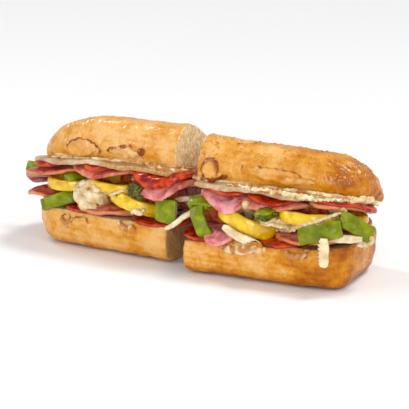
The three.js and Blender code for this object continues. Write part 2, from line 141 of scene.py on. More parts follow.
# the place and the width in metres, and the power in watts
LAMPS = {
    "lamp_left": ((-0.9, -0.9, 0.8), 0.8, 4.5),
    "lamp_front": ((0.35, -1.2, 0.32), 0.5, 4.5),
    "lamp_right": ((1.0, -0.5, 0.6), 0.5, 2.5),
    "glint_right": ((0.95, 0.35, 0.85), 0.1, 2),
    "glint_front": ((-0.8, -1.15, 0.5), 0.1, 1.2),
}


def lay_table():
    """A pale table top that is much wider than the view."""
    corners = [(x * TABLE_HALF, y * TABLE_HALF, 0) for x, y in ((-1, -1), (1, -1), (1, 1), (-1, 1))]
    mesh = bpy.data.meshes.new("table_top")
    mesh.from_pydata(corners, [], [(0, 1, 2, 3)])
    table = bpy.data.objects.new("table_top", mesh)
    finish = bpy.data.materials.new("pale_table")
    finish.use_nodes = True
    shader = finish.node_tree.nodes["Principled BSDF"]
    shader.inputs["Base Color"].default_value = TABLE_COLOUR
    shader.inputs["Roughness"].default_value = TABLE_ROUGHNESS
    mesh.materials.append(finish)
    SCENE.objects.link(table)
    table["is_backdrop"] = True


def hang(name, kind, facing, energy, **settings):
    """A light that shines from the side that facing points to."""
    data = bpy.data.lights.new(name, kind)
    data.energy = energy
    for key, value in settings.items():
        setattr(data, key, value)
    lamp = bpy.data.objects.new(name, data)
    lamp.rotation_euler = Vector(facing).to_track_quat("Z", "Y").to_euler()
    SCENE.objects.link(lamp)
    return lamp


lay_table()
for name, (direction, strength, spread) in SKIES.items():
    hang(name, "SUN", direction, strength, angle=math.radians(spread))
for name, (place, width, watts) in LAMPS.items():
    hang(name, "AREA", Vector(place) - TARGET, watts, size=width).location = place
world = bpy.data.worlds.new("studio")
world.use_nodes = True
world.node_tree.nodes["Background"].inputs["Color"].default_value = (1, 1, 1, 1)
world.node_tree.nodes["Background"].inputs["Strength"].default_value = ROOM_LIGHT
bpy.context.scene.world = world
bpy.context.scene.view_settings.view_transform = "Standard"
print("table and", len(SKIES) + len(LAMPS), "lights are up")

# %% [markdown]
# Helpers for node trees
#
# Shader trees and geometry trees are built in the same way: a node is added with its
# settings and its inputs, and an input is either a plain value or another node's output.
# A geometry tree runs on a piece as a modifier, and its result is kept as a plain mesh.

# %% Node helpers
BUMP_STRENGTH = 0.7
FINISHES = {}


def add(tree, kind, inputs=None, **settings):
    """Adds a node. An input that is given as a socket is linked, any other is set."""
    node = tree.nodes.new(kind)
    for name, value in settings.items():
        setattr(node, name, value)
    for name, value in (inputs or {}).items():
        if isinstance(value, bpy.types.NodeSocket):
            tree.links.new(value, node.inputs[name])
        else:
            node.inputs[name].default_value = value
    return node


def math_node(tree, operation, first, second):
    """One sum, with sockets or numbers."""
    return add(tree, "ShaderNodeMath", {0: first, 1: second}, operation=operation).outputs[0]


def times(tree, first, second):
    return math_node(tree, "MULTIPLY", first, second)


def plus(tree, first, second):
    return math_node(tree, "ADD", first, second)


def swing(tree, field, height):
    """A field from 0 to 1, moved to swing about zero and scaled."""
    return times(tree, math_node(tree, "SUBTRACT", field, 0.5), height)


def scaled(tree, vector, share):
    """A vector times the value of a socket."""
    inputs = {0: vector, "Scale": share}
    return add(tree, "ShaderNodeVectorMath", inputs, operation="SCALE").outputs[0]


def noise_field(tree, place, size, detail=3.0, distortion=0.0):
    """Soft random values between 0 and 1 whose patches are about size metres wide."""
    values = {"Vector": place, "Scale": 1 / size, "Detail": detail, "Distortion": distortion}
    return add(tree, "ShaderNodeTexNoise", values).outputs["Fac"]


def between(tree, value, low, high):
    """0 below low, 1 above high, and a smooth rise between them."""
    inputs = {"Value": value, "From Min": low, "From Max": high}
    return add(tree, "ShaderNodeMapRange", inputs, interpolation_type="SMOOTHSTEP").outputs[0]


def colour(red, green, blue):
    return (red, green, blue, 1.0)


def tint(tree, share, first, second):
    """A mix of two colours."""
    return add(tree, "ShaderNodeMix", {0: share, 6: first, 7: second}, data_type="RGBA").outputs[2]


def ramp(tree, value, *stops):
    """Colours that follow a value, as (value, red, green, blue) stops."""
    node = add(tree, "ShaderNodeValToRGB", {0: value})
    elements = node.color_ramp.elements
    while len(elements) < len(stops):
        elements.new(0.5)
    for element, (position, red, green, blue) in zip(elements, stops):
        element.position = position
        element.color = colour(red, green, blue)
    return node.outputs[0]


def painted(tree, name):
    """A value that was painted on the mesh's points."""
    return add(tree, "ShaderNodeAttribute", attribute_name=name).outputs["Fac"]


def shown(tree, name, low, high, most=1.0):
    """How far a painted value shows: from 0 at low to most at high."""
    return times(tree, between(tree, painted(tree, name), low, high), most)


def new_finish(slot, name, coarse, fine):
    """The material of a slot: its tree, the place in the sandwich's own frame, and a coarse
    and a fine noise, each given as its size in millimetres, its detail and its distortion."""
    finish = bpy.data.materials.new(name)
    finish.use_nodes = True
    tree = finish.node_tree
    tree.nodes.clear()
    place = add(tree, "ShaderNodeTexCoord").outputs["Object"]
    FINISHES[slot] = finish
    noises = [noise_field(tree, place, size * MM, *rest) for size, *rest in (coarse, fine)]
    return tree, place, *noises


def close_finish(tree, base, relief, depth, roughness, flesh, coat, specular=0.5):
    """The shader itself, with depths in millimetres. flesh says how much light goes inside,
    in which colour and how far. coat is the weight and the roughness of a wet layer. Colour,
    relief, roughness and the weight of the coat may be fields."""
    bump = add(tree, "ShaderNodeBump",
               {"Height": relief, "Distance": depth * MM, "Strength": BUMP_STRENGTH})
    shader = add(tree, "ShaderNodeBsdfPrincipled", {
        "Base Color": base, "Roughness": roughness, "Normal": bump.outputs[0],
        "Subsurface Weight": flesh[0], "Subsurface Radius": flesh[1],
        "Subsurface Scale": flesh[2] * MM, "Coat Weight": coat[0], "Coat Roughness": coat[1],
        "Specular IOR Level": specular})
    add(tree, "ShaderNodeOutputMaterial", {"Surface": shader.outputs[0]})


def new_tree(name, inputs):
    """A Geometry Nodes tree, and the sockets that its mesh, inputs and finish come in by."""
    tree = bpy.data.node_groups.new(name, "GeometryNodeTree")
    face = tree.interface
    face.new_socket("Geometry", in_out="INPUT", socket_type="NodeSocketGeometry")
    face.new_socket("Geometry", in_out="OUTPUT", socket_type="NodeSocketGeometry")
    for label, kind in {**inputs, "Finish": "Material"}.items():
        face.new_socket(label, in_out="INPUT", socket_type="NodeSocket" + kind)
    return tree, tree.nodes.new("NodeGroupInput").outputs


def close_tree(tree, given, geometry, smooth):
    """Makes instances real and gives the mesh its finish."""
    mesh = add(tree, "GeometryNodeRealizeInstances", {"Geometry": geometry})
    if smooth:
        mesh = add(tree, "GeometryNodeSetShadeSmooth", {"Geometry": mesh.outputs[0]})
    dressed = add(tree, "GeometryNodeSetMaterial",
                  {"Geometry": mesh.outputs[0], "Material": given["Finish"]})
    tree.links.new(dressed.outputs[0], tree.nodes.new("NodeGroupOutput").inputs[0])
    print("inputs of", tree.name + ":", ", ".join(inputs_of(tree)))


def inputs_of(tree):
    """The identifiers of a tree's inputs, by their names."""
    return {item.name: item.identifier for item in tree.interface.items_tree
            if item.in_out == "INPUT"}


def run_through(piece, tree, values):
    """Puts a tree on a piece as a modifier, with a value for each named input."""
    modifier = piece.modifiers.new(tree.name, "NODES")
    modifier.node_group = tree
    sockets = inputs_of(tree)
    for name, value in values.items():
        modifier[sockets[name]] = value


def smooth_over(piece, rounds):
    """Evens out the skin, a little more with each round."""
    piece.modifiers.new("smoothing", "SMOOTH").iterations = rounds


def fix_shape(piece):
    """Swaps a piece's mesh for what its modifiers make of it, and removes them."""
    ready = piece.evaluated_get(bpy.context.evaluated_depsgraph_get())
    mesh = bpy.data.meshes.new_from_object(ready)
    piece.modifiers.clear()
    piece.data = mesh
    return mesh


print("node helpers are ready")

# %% [markdown]
# Crust and crumb
#
# A toasted roll is golden where it is high, amber where it lay on the tray and pale inside.
# How dark the crust is comes from the painted value "toast_and_shade", and where the cut crumb
# is from "crumb". On the cut crumb of the bottom breads, "toast_and_shade" is painted shade.
# Cheese that ran over the edge and browned is "melt", with a dark rim, "scorch".
# Fine blisters are relief in the material, because they are smaller than the mesh.

# %% Bread finish


def bread_finish():
    tree, place, mottle, speckle = new_finish("bread", "toasted_bread", (9, 6, 0.4), (1.7, 4))
    toast_and_shade = painted(tree, "toast_and_shade")
    uneven = swing(tree, mottle, 1.5)
    grains = swing(tree, speckle, 0.6)
    darkness = plus(tree, toast_and_shade, plus(tree, uneven, grains))
    crust = ramp(tree, darkness, (0.0, 0.78, 0.44, 0.15), (0.25, 0.71, 0.34, 0.060),
                 (0.5, 0.61, 0.235, 0.010), (0.75, 0.49, 0.155, 0.001), (1.0, 0.34, 0.085, 0.001))
    stretched = add(tree, "ShaderNodeMapping", {"Vector": place, "Scale": (1.0, 1.3, 0.6)})
    pores = noise_field(tree, stretched.outputs[0], 1.7 * MM, 5, 0.5)
    holes = between(tree, pores, 0.36, 0.62)
    crumb = tint(tree, holes, colour(0.62, 0.42, 0.20), colour(0.90, 0.68, 0.41))
    # the crumb darkens where it dried, and on the cut faces of the bottom breads as painted shade
    dried_and_shaded = times(tree, between(tree, toast_and_shade, 0.3, 0.7), 0.8)
    crumb = tint(tree, dried_and_shaded, crumb, colour(0.42, 0.20, 0.040))
    inside = shown(tree, "crumb", 0.40, 0.70)
    bread = tint(tree, inside, crust, crumb)
    cheese = ramp(tree, mottle, (0.40, 0.50, 0.19, 0.035), (0.5, 0.72, 0.41, 0.15),
                  (0.60, 0.86, 0.64, 0.38))
    melt = shown(tree, "melt", 0.2, 0.9, 0.85)
    browned = tint(tree, melt, bread, cheese)
    base = tint(tree, shown(tree, "scorch", 0.1, 0.7), browned,
                colour(0.24, 0.050, 0.004))
    pits = times(tree, times(tree, holes, inside), 0.5)
    blisters = times(tree, noise_field(tree, place, 3.5 * MM, 2, 0.6), 1.2)
    relief = plus(tree, speckle, plus(tree, pits, blisters))
    wet = times(tree, painted(tree, "wet"), between(tree, mottle, 0.3, 0.6))
    shine = plus(tree, 0.10, times(tree, mottle, 0.38))
    roughness = plus(tree, shine, times(tree, inside, 0.45))
    close_finish(tree, base, relief, 0.6, roughness, flesh=(0.1, (1.0, 0.45, 0.2), 1.5),
                 coat=(wet, 0.16), specular=0.15)


# %% [markdown]
# Meats
#
# Ham is pink with a paler rim, and it shines because it is wet. Cured sausage is a deep red
# with flecks of fat, and its edge is darker where it crisped. "rim" is painted on the cut
# edge of a slice and fades over about two millimetres.

# %% Meat finishes


def ham_finish():
    tree, _, blotch, fibre = new_finish("ham", "cooked_ham", (7, 3, 0.8), (1.3, 4))
    meat = ramp(tree, blotch, (0.34, 0.36, 0.036, 0.022), (0.5, 0.54, 0.105, 0.060),
                (0.66, 0.68, 0.220, 0.145))
    flush = painted(tree, "flush")
    meat = tint(tree, flush, meat, ramp(tree, blotch, (0.38, 0.60, 0.13, 0.14),
                                        (0.60, 0.84, 0.38, 0.38)))
    marbling = times(tree, between(tree, fibre, 0.52, 0.72), 0.4)
    meat = tint(tree, marbling, meat, colour(0.74, 0.36, 0.24))
    rim = shown(tree, "rim", 0.08, 0.6)
    base = tint(tree, times(tree, rim, 0.8), meat, colour(0.74, 0.27, 0.10))
    close_finish(tree, base, fibre, 0.35, 0.3, flesh=(0.2, (1.0, 0.35, 0.25), 1.5),
                 coat=(0.3, 0.1), specular=0.15)


def pepperoni_finish():
    tree, place, blotch, grain = new_finish("pepperoni", "cured_sausage", (6, 3, 0.5), (1.1, 4))
    meat = ramp(tree, blotch, (0.34, 0.22, 0.003, 0.001), (0.5, 0.42, 0.012, 0.001),
                (0.66, 0.62, 0.065, 0.006))
    cells = add(tree, "ShaderNodeTexVoronoi", {"Vector": place, "Scale": 1 / (2.6 * MM)})
    fat = between(tree, cells.outputs["Distance"], 0.2, 0.08)
    meat = tint(tree, times(tree, fat, 0.4), meat, colour(0.72, 0.20, 0.04))
    rim = shown(tree, "rim", 0.3, 0.9)
    base = tint(tree, times(tree, rim, 0.6), meat, colour(0.60, 0.115, 0.03))
    close_finish(tree, base, grain, 0.45, 0.25, flesh=(0.1, (1.0, 0.2, 0.1), 1),
                 coat=(0.35, 0.1), specular=0.1)


# %% [markdown]
# Cheeses
#
# The sliced cheese under the top bread only softened, so it stays off white, and towards the
# cut it is painted darker as shade. The cheese round the vegetables melted and browned in
# spots, more where it stands proud. Deep inside and by the cut it is painted dark red brown
# as shade.

# %% Cheese finishes


def sliced_cheese_finish():
    tree, _, cloud, fine = new_finish("sliced_cheese", "sliced_cheese", (7, 4, 0.6), (1.6, 3))
    body = ramp(tree, cloud, (0.32, 0.36, 0.20, 0.085), (0.5, 0.50, 0.33, 0.18),
                (0.68, 0.70, 0.56, 0.38))
    toasted = shown(tree, "brown", 0.2, 0.8, 0.8)
    # painted shade: towards the cut the slice takes darker, browner tones
    cut_shade = times(tree, painted(tree, "cut_shade"), 0.85)
    body = tint(tree, cut_shade, body, ramp(tree, fine, (0.35, 0.36, 0.15, 0.035),
                                        (0.65, 0.60, 0.34, 0.13)))
    base = tint(tree, toasted, body, colour(0.48, 0.23, 0.060))
    close_finish(tree, base, fine, 0.3, 0.32, flesh=(0.25, (1.0, 0.8, 0.5), 2),
                 coat=(0.1, 0.2), specular=0.3)


def melted_cheese_finish():
    tree, _, cloud, fine = new_finish("melted_cheese", "melted_cheese", (5, 4, 0.6), (1.3, 3))
    body = ramp(tree, cloud, (0.34, 0.62, 0.40, 0.15), (0.5, 0.74, 0.58, 0.32),
                (0.66, 0.86, 0.77, 0.56))
    # painted shade: deep inside and by the cut, the cheese is coloured a dark red brown
    deep_shade = tint(tree, between(tree, cloud, 0.42, 0.64), colour(0.34, 0.014, 0.002),
               colour(0.58, 0.13, 0.012))
    in_deep_shade = painted(tree, "deep_shade")
    body = tint(tree, in_deep_shade, body, deep_shade)
    spots = shown(tree, "brown", 0.3, 0.75)
    scorched = tint(tree, spots, body, colour(0.50, 0.20, 0.045))
    base = tint(tree, shown(tree, "brown", 0.8, 1.0), scorched,
                colour(0.13, 0.035, 0.01))
    # rougher where the shade is painted, so that it shines less
    roughness = plus(tree, 0.28, times(tree, in_deep_shade, 0.4))
    close_finish(tree, base, fine, 0.35, roughness, flesh=(0.2, (1.0, 0.6, 0.3), 1.5),
                 coat=(0.2, 0.1), specular=0.25)


# %% [markdown]
# Vegetables
#
# Pickled banana pepper is a clear, warm yellow. Roasted green pepper is yellow green, with
# edges that charred. Cooked onion is creamy and lets light through.

# %% Vegetable finishes


def banana_pepper_finish():
    tree, _, cloud, fine = new_finish("banana_pepper", "banana_pepper", (6, 3), (1.5, 4))
    body = ramp(tree, cloud, (0.32, 0.60, 0.33, 0.001), (0.5, 0.76, 0.49, 0.001),
                (0.7, 0.88, 0.64, 0.01))
    rim = shown(tree, "rim", 0.3, 0.8, 0.5)
    base = tint(tree, rim, body, colour(0.88, 0.68, 0.12))
    specks = between(tree, fine, 0.68, 0.74)
    base = tint(tree, times(tree, specks, 0.6), base, colour(0.26, 0.11, 0.004))
    close_finish(tree, base, fine, 0.2, 0.25, flesh=(0.2, (1.0, 0.7, 0.1), 1.5),
                 coat=(0.7, 0.06), specular=0.3)


def green_pepper_finish():
    tree, _, cloud, fine = new_finish("green_pepper", "green_pepper", (6, 3), (1.3, 4))
    body = ramp(tree, cloud, (0.3, 0.12, 0.15, 0.0003), (0.5, 0.19, 0.225, 0.0004),
                (0.7, 0.29, 0.33, 0.001))
    uneven = swing(tree, fine, 1.5)
    edge = between(tree, plus(tree, painted(tree, "char"), uneven), 0.45, 0.85)
    base = tint(tree, edge, body, colour(0.045, 0.034, 0.002))
    close_finish(tree, base, fine, 0.25, 0.3, flesh=(0.1, (0.6, 1.0, 0.1), 1.5),
                 coat=(0.3, 0.06), specular=0.12)


def onion_finish():
    tree, _, cloud, fine = new_finish("onion", "cooked_onion", (5, 3), (1.0, 3))
    body = ramp(tree, cloud, (0.3, 0.62, 0.42, 0.19), (0.5, 0.76, 0.60, 0.36),
                (0.7, 0.88, 0.79, 0.60))
    rim = shown(tree, "rim", 0.4, 0.9, 0.4)
    base = tint(tree, rim, body, colour(0.50, 0.30, 0.11))
    base = tint(tree, shown(tree, "dots", 0.3, 0.6), base,
                colour(0.05, 0.03, 0.01))
    close_finish(tree, base, fine, 0.2, 0.25, flesh=(0.35, (1.0, 0.9, 0.6), 2),
                 coat=(0.3, 0.12))


for make in (bread_finish, sliced_cheese_finish, melted_cheese_finish, pepperoni_finish,
             ham_finish, banana_pepper_finish, green_pepper_finish, onion_finish):
    make()
print("finishes:", ", ".join(FINISHES))

# %% [markdown]
# From solid to food
#
# Every solid goes down the same path. A copy has its corners merged, a subdivision surface
# rounds its facets while the sharp edges stay, and a voxel remesh gives it an even skin that
# can carry relief. A Geometry Nodes tree then bends it. Its first noise moves whole regions
# of the sandwich together, so neighbouring layers wave side by side and never cross. Its
# second noise pushes the skin in and out.

# %% The tree that bends and roughens


def relief_tree():
    """Inputs, in metres: the wave, the lumps on the skin, how far the skin swells, and how
    far its upper side rises and its lower side drops to lean on the neighbours."""
    lengths = ("Wave size", "Wave height", "Lump size", "Lump height", "Swell", "Rise", "Drop")
    tree, given = new_tree("hand_laid", {name: "Float" for name in lengths})
    position = add(tree, "GeometryNodeInputPosition").outputs[0]
    normal = add(tree, "GeometryNodeInputNormal").outputs[0]

    def noise(size, detail):
        values = {"Vector": position, "Scale": math_node(tree, "DIVIDE", 1.0, given[size]),
                  "Detail": detail}
        return add(tree, "ShaderNodeTexNoise", values).outputs

    def moved(geometry, offset):
        values = {"Geometry": geometry, "Offset": offset}
        return add(tree, "GeometryNodeSetPosition", values).outputs[0]

    wave = add(tree, "ShaderNodeVectorMath", {0: noise("Wave size", 1.0)["Color"],
                                              1: (0.5, 0.5, 0.5)}, operation="SUBTRACT")
    waved = moved(given["Geometry"], scaled(tree, wave.outputs[0], given["Wave height"]))
    height = swing(tree, noise("Lump size", 3.0)["Fac"], given["Lump height"])
    lumpy = moved(waved, scaled(tree, normal, plus(tree, height, given["Swell"])))
    slope = add(tree, "ShaderNodeSeparateXYZ", {0: normal}).outputs[2]
    above = times(tree, math_node(tree, "MAXIMUM", slope, 0.0), given["Rise"])
    below = times(tree, math_node(tree, "MINIMUM", slope, 0.0), given["Drop"])
    lean = add(tree, "ShaderNodeCombineXYZ", {2: plus(tree, above, below)})
    close_tree(tree, given, moved(lumpy, lean.outputs[0]), smooth=False)
    return tree


HAND_LAID = relief_tree()

# %% One piece of food from one solid
SHARP = math.radians(62)
WAVE_SIZE = 11 * MM
WAVE_HEIGHT = 2.0 * MM

# voxel, rounds of smoothing, lump size and height, swell, rise and drop, in millimetres
SKINS = {
    "bread": (0.6, 8, 5.0, 0.9, 0.0, 0.0, 0.0),
    "sliced_cheese": (0.55, 3, 5.0, 1.2, 0.15, 0.2, 0.1),
    "melted_cheese": (0.6, 8, 5.0, 3.0, 0.35, 1.2, 0.4),
    "pepperoni": (0.55, 2, 4.0, 0.5, 0.25, 0.1, 0.1),
    "ham": (0.55, 2, 5.0, 0.7, 0.25, 0.1, 0.1),
    "banana_pepper": (0.5, 6, 7.0, 0.8, 0.3, 0.0, 0.0),
    "green_pepper": (0.5, 5, 6.0, 0.9, 0.15, 0.0, 0.0),
    "onion": (0.4, 6, 5.0, 0.6, 0.1, 0.0, 0.0),
}


def merged_copy(node):
    """The node's triangles with shared corners, and its sharp edges marked as creases."""
    form = bmesh.new()
    form.from_mesh(frame["nodes"][node].data)
    bmesh.ops.remove_doubles(form, verts=form.verts, dist=0.001 * MM)
    crease = form.edges.layers.float.new("crease_edge")
    for edge in form.edges:
        if len(edge.link_faces) == 2 and edge.calc_face_angle() > SHARP:
            edge[crease] = 1.0
    mesh = bpy.data.meshes.new(node + "_copy")
    form.to_mesh(mesh)
    form.free()
    return mesh


def softened(node, slot):
    """The food that stands for a node, as an object with a plain mesh."""
    voxel, rounds, lump_size, lump_height, swell, rise, drop = SKINS[slot]
    piece = bpy.data.objects.new("cooked_" + node, merged_copy(node))
    SCENE.objects.link(piece)
    rounding = piece.modifiers.new("rounding", "SUBSURF")
    rounding.levels = rounding.render_levels = 2
    skin = piece.modifiers.new("skin", "REMESH")
    skin.mode = "VOXEL"
    skin.voxel_size = voxel * MM
    skin.use_smooth_shade = True
    smooth_over(piece, rounds)
    run_through(piece, HAND_LAID, {
        "Wave size": WAVE_SIZE, "Wave height": WAVE_HEIGHT, "Lump size": lump_size * MM,
        "Lump height": lump_height * MM, "Swell": swell * MM, "Rise": rise * MM,
        "Drop": drop * MM, "Finish": FINISHES[slot]})
    fix_shape(piece)
    return piece


# %% [markdown]
# Painting values on the points
#
# The finishes ask where the cut edge of a slice is. At a cut edge, a line that goes straight
# in from the surface runs a long way through the food, while on the flat of a slice it comes
# out again after a millimetre or two. Blurring that answer along the mesh makes a soft rim.

# %% Reading and painting
UNDER_THE_SKIN = 0.05 * MM
WAVES = 9


def points_of(mesh):
    """The places and the normals of a mesh's points, as two arrays."""
    places = np.empty(len(mesh.vertices) * 3, np.float32)
    mesh.vertices.foreach_get("co", places)
    normals = np.empty(len(mesh.vertices) * 3, np.float32)
    mesh.vertex_normals.foreach_get("vector", normals)
    return places.reshape(-1, 3).astype(float), normals.reshape(-1, 3).astype(float)


def move_points(mesh, places):
    mesh.vertices.foreach_set("co", places.astype(np.float32).ravel())
    mesh.update()


def paint(mesh, name, values):
    """Stores one value for each point."""
    layer = mesh.attributes.get(name) or mesh.attributes.new(name, "FLOAT", "POINT")
    layer.data.foreach_set("value", np.clip(values, 0, 1).astype(np.float32))


def blurred(mesh, values, rounds):
    """Values spread along the mesh, a little further with each round."""
    pairs = np.empty(len(mesh.edges) * 2, np.int32)
    mesh.edges.foreach_get("vertices", pairs)
    one, other = pairs.reshape(-1, 2).T
    size = len(values)
    count = np.maximum(np.bincount(one, minlength=size) + np.bincount(other, minlength=size), 1)
    for _ in range(rounds):
        total = (np.bincount(one, weights=values[other], minlength=size)
                 + np.bincount(other, weights=values[one], minlength=size))
        values = 0.5 * values + 0.5 * total / count
    return values


def cut_edge(mesh, thickness, rounds):
    """1 on the cut edge of a slice, fading over its flat sides."""
    places, normals = points_of(mesh)
    tree = BVHTree.FromPolygons(places.tolist(), [tuple(p.vertices) for p in mesh.polygons])
    inward = np.zeros(len(places))
    for index, (place, normal) in enumerate(zip(places, normals)):
        start = Vector(place - normal * UNDER_THE_SKIN)
        if tree.ray_cast(start, Vector(-normal), 2 * thickness)[0] is None:
            inward[index] = 1.0
    return blurred(mesh, inward, rounds)


def smooth_noise(places, size, seed):
    """Soft random values from 0 to 1 at many places: sines with uneven directions."""
    spread = np.zeros(len(places))
    rng = np.random.default_rng(seed * 1000 + 7)
    for _ in range(WAVES):
        direction = rng.normal(size=3)
        direction /= np.linalg.norm(direction)
        pitch = 2 * math.pi / (size * rng.uniform(0.8, 2.2))
        spread += np.sin(places @ direction * pitch + rng.uniform(0, 2 * math.pi))
    return 1 / (1 + np.exp(-spread * 0.8))


def eased(values, low, high):
    """0 below low, 1 above high, and smooth between them, for arrays."""
    share = np.clip((values - low) / (high - low), 0, 1)
    return share * share * (3 - 2 * share)


# %% [markdown]
# Places that the photograph shows
#
# A bubble of cheese or a charred spot is put where the photograph shows it: a ray through a
# pixel stops at the first piece that it meets, and the spot grows there on that piece. For
# the back, which no photograph shows, a ray starts behind the sandwich instead.

# %% Rays
FAR = 300 * MM


def surface_of(pieces):
    """One search tree over the skins of several pieces."""
    corners, faces = [], []
    for piece in pieces:
        first = len(corners)
        corners += [vertex.co.copy() for vertex in piece.data.vertices]
        faces += [[first + corner for corner in face.vertices] for face in piece.data.polygons]
    return BVHTree.FromPolygons(corners, faces)


def seen_at(surface, across, down):
    """The place and the normal where the camera's ray through a pixel meets the surface."""
    place, normal, _, _ = surface.ray_cast(camera.location, pixel_direction(across, down))
    return place, normal


def behind_at(surface, along, height):
    """The same for a ray from behind, at millimetres along the loaf and above the table."""
    start = Vector((along * MM, FAR, height * MM))
    place, normal, _, _ = surface.ray_cast(start, Vector((0, -1, 0)))
    return place, normal


# %% [markdown]
# Fillings
#
# All the slices, rings, strips and cheeses. Each keeps its place in the sandwich and takes
# the finish of its slot in the record. Deep inside and near the cut, the cheese is painted a
# dark red brown as shade, and only what stands near the front or the back keeps its pale
# colour.

# %% Make the fillings
SLOT_OF = {part["node"]: part["material_slot"] for part in frame["record"]["subparts"]}
# the thickness of a piece in millimetres, and the rounds of blurring of its cut edge
EDGES = {"pepperoni": (1.5, 6), "ham": (1.7, 16), "sliced_cheese": (2.0, 10),
         "banana_pepper": (3.0, 4), "green_pepper": (4.0, 3), "onion": (2.0, 3)}
# how far the ham blushed, and how far the green pepper charred
FLUSH = {"ham_fold_right_1": 1.0, "ham_low_right_1": 1.0, "ham_left_3": 0.5, "ham_right_1": 0.3}
CHAR = {"green_pepper_left_4": 0.22, "green_pepper_left_1": 0.2, "green_pepper_left_6": 0.2,
        "green_pepper_left_3": 0.15, "green_pepper_right_3": 0.15, "green_pepper_right_6": 0.2}
CHAR_RIM = 0.58
DOTTED = "onion_right_2"
DOT_PITCH = 2.2 * MM
# how far the upper and the lower side of a slice move, in millimetres
PRESS = {"ham": (1.4, 0.5), "sliced_cheese": (0.9, 1.1), "pepperoni": (0.6, 0.4)}
PRESS_FROM = 5 * MM
PRESS_FULL = 11 * MM
# painted shade in the melted cheese: where it starts from the middle, and over what it rises
DEEP_SHADE_STARTS = {"left": 23 * MM, "right": 25 * MM}
DEEP_SHADE_RISE = 6 * MM
CUT_AT = {"left": 1 * MM, "right": 14 * MM}
# the painted shade also covers the cheese this near the cut
DEEP_SHADE_BY_THE_CUT = 34 * MM
# how far from the cut the painted shade on each slice reaches, and over how much it fades
CUT_SHADE_TO = {"provolone_left": 52 * MM, "provolone_right": 14 * MM}
CUT_SHADE_FADE = 12 * MM
CLOUD_SIZE = 4 * MM


def serve(piece, node):
    """Hands a finished piece over to the frame."""
    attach(piece, "root")
    if node in frame["nodes"]:
        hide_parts(node)


def press(mesh, node, up, down):
    """Closes the gaps to the neighbours. At the front, the back and the rounded end of the
    loaf, where the edges of the slices show, they stay as thin as they are."""
    places, normals = points_of(mesh)
    low, high = places.min(axis=0), places.max(axis=0)
    outer = places[:, 0] - low[0] if "left" in node else high[0] - places[:, 0]
    inner = np.ones(len(places))
    for distance in (places[:, 1] - low[1], high[1] - places[:, 1], outer):
        inner *= eased(distance, PRESS_FROM, PRESS_FULL)
    slope = normals[:, 2]
    places[:, 2] += inner * MM * (up * np.maximum(slope, 0) + down * np.minimum(slope, 0))
    move_points(mesh, places)


def brown_spots(mesh, places, normals, share):
    """Cheese browns in patches, and first where it stands proud."""
    flow = places - np.column_stack([blurred(mesh, places[:, k], 12) for k in range(3)])
    proud = eased(np.einsum("ij,ij->i", flow, normals) / MM, 0.05, 0.3)
    patches = eased(smooth_noise(places, CLOUD_SIZE, 1), 0.72, 0.97)
    paint(mesh, "brown", share * (0.75 * patches + 0.3 * proud))


def dots_beside(node, places):
    """A row of dark dots down one edge of the hanging onion strip."""
    if node != DOTTED:
        return np.zeros(len(places))
    low, high = places.min(axis=0), places.max(axis=0)
    beside = (places[:, 0] - low[0]) / (high[0] - low[0])
    rows = np.cos(2 * math.pi * places[:, 2] / DOT_PITCH)
    return eased(beside, 0.30, 0.12) * eased(rows, 0.0, 0.7)


made = {}
for node, slot in SLOT_OF.items():
    if slot == "bread":
        continue
    piece = softened(node, slot)
    mesh = piece.data
    places, normals = points_of(mesh)
    if slot in EDGES:
        thickness, rounds = EDGES[slot]
        edge = cut_edge(mesh, thickness * MM, rounds)
        paint(mesh, "rim", edge)
    if slot in PRESS:
        press(mesh, node, *PRESS[slot])
    if slot == "onion":
        paint(mesh, "dots", dots_beside(node, places))
    if slot == "green_pepper":
        paint(mesh, "char", CHAR_RIM * edge + CHAR.get(node, 0.05))
    if slot == "ham":
        paint(mesh, "flush", np.full(len(places), FLUSH.get(node, 0.0)))
    half = "left" if "left" in node else "right"
    from_cut = np.abs(places[:, 0] - CUT_AT[half])
    if slot == "sliced_cheese":
        brown_spots(mesh, places, normals, 0.5)
        # painted shade: the slice darkens towards the cut
        paint(mesh, "cut_shade", eased(from_cut, CUT_SHADE_TO[node], CUT_SHADE_TO[node] - CUT_SHADE_FADE))
    if slot == "melted_cheese":
        brown_spots(mesh, places, normals, 1.0)
        # painted shade: the cheese deep inside and near the cut is coloured dark red brown
        deep = eased(DEEP_SHADE_STARTS[half] - np.abs(places[:, 1]), 0.0, DEEP_SHADE_RISE)
        paint(mesh, "deep_shade", np.maximum(deep, eased(DEEP_SHADE_BY_THE_CUT - from_cut, 0.0, DEEP_SHADE_RISE)))
    serve(piece, node)
    made[node] = piece
faces = sum(len(piece.data.polygons) for piece in made.values())
print(len(made), "fillings with", faces, "faces")

# %% [markdown]
# Breads
#
# The nearest face of the plain solid says whether a point is crust or crumb: the cut faces
# look along the loaf, and the inner faces look at the filling.

# %% Crust, crumb and baking
# the way that the inner face of each bread looks
BREADS = {
    "bottom_bread_left": Vector((0, 0, 1)),
    "bottom_bread_right": Vector((0, 0, 1)),
    "top_bread_left": Vector((0, -0.25, -0.97)),
    "top_bread_right": Vector((0, -0.25, -0.97)),
}
FACING = 0.9
SETTLE = 1.5 * MM
# what adds to the toast and painted shade, which go from 0 for pale to 1 for dark
EVEN = 0.20
CLOUDS = 0.26
STREAKS = 0.16
STREAKS_RUN = np.array([0.25, 1.0, 1.5])
UNDERSIDE = 0.40
# the cut crumb of a bottom bread is set to this painted shade, less of it near its top
SHADED_CUT_FACE = 0.6
SKIRT = 0.12
RIGHT_HALF = 0.12
FAR_END = 0.40
# a point with less crumb than this is crust
CRUST_ONLY = 0.1


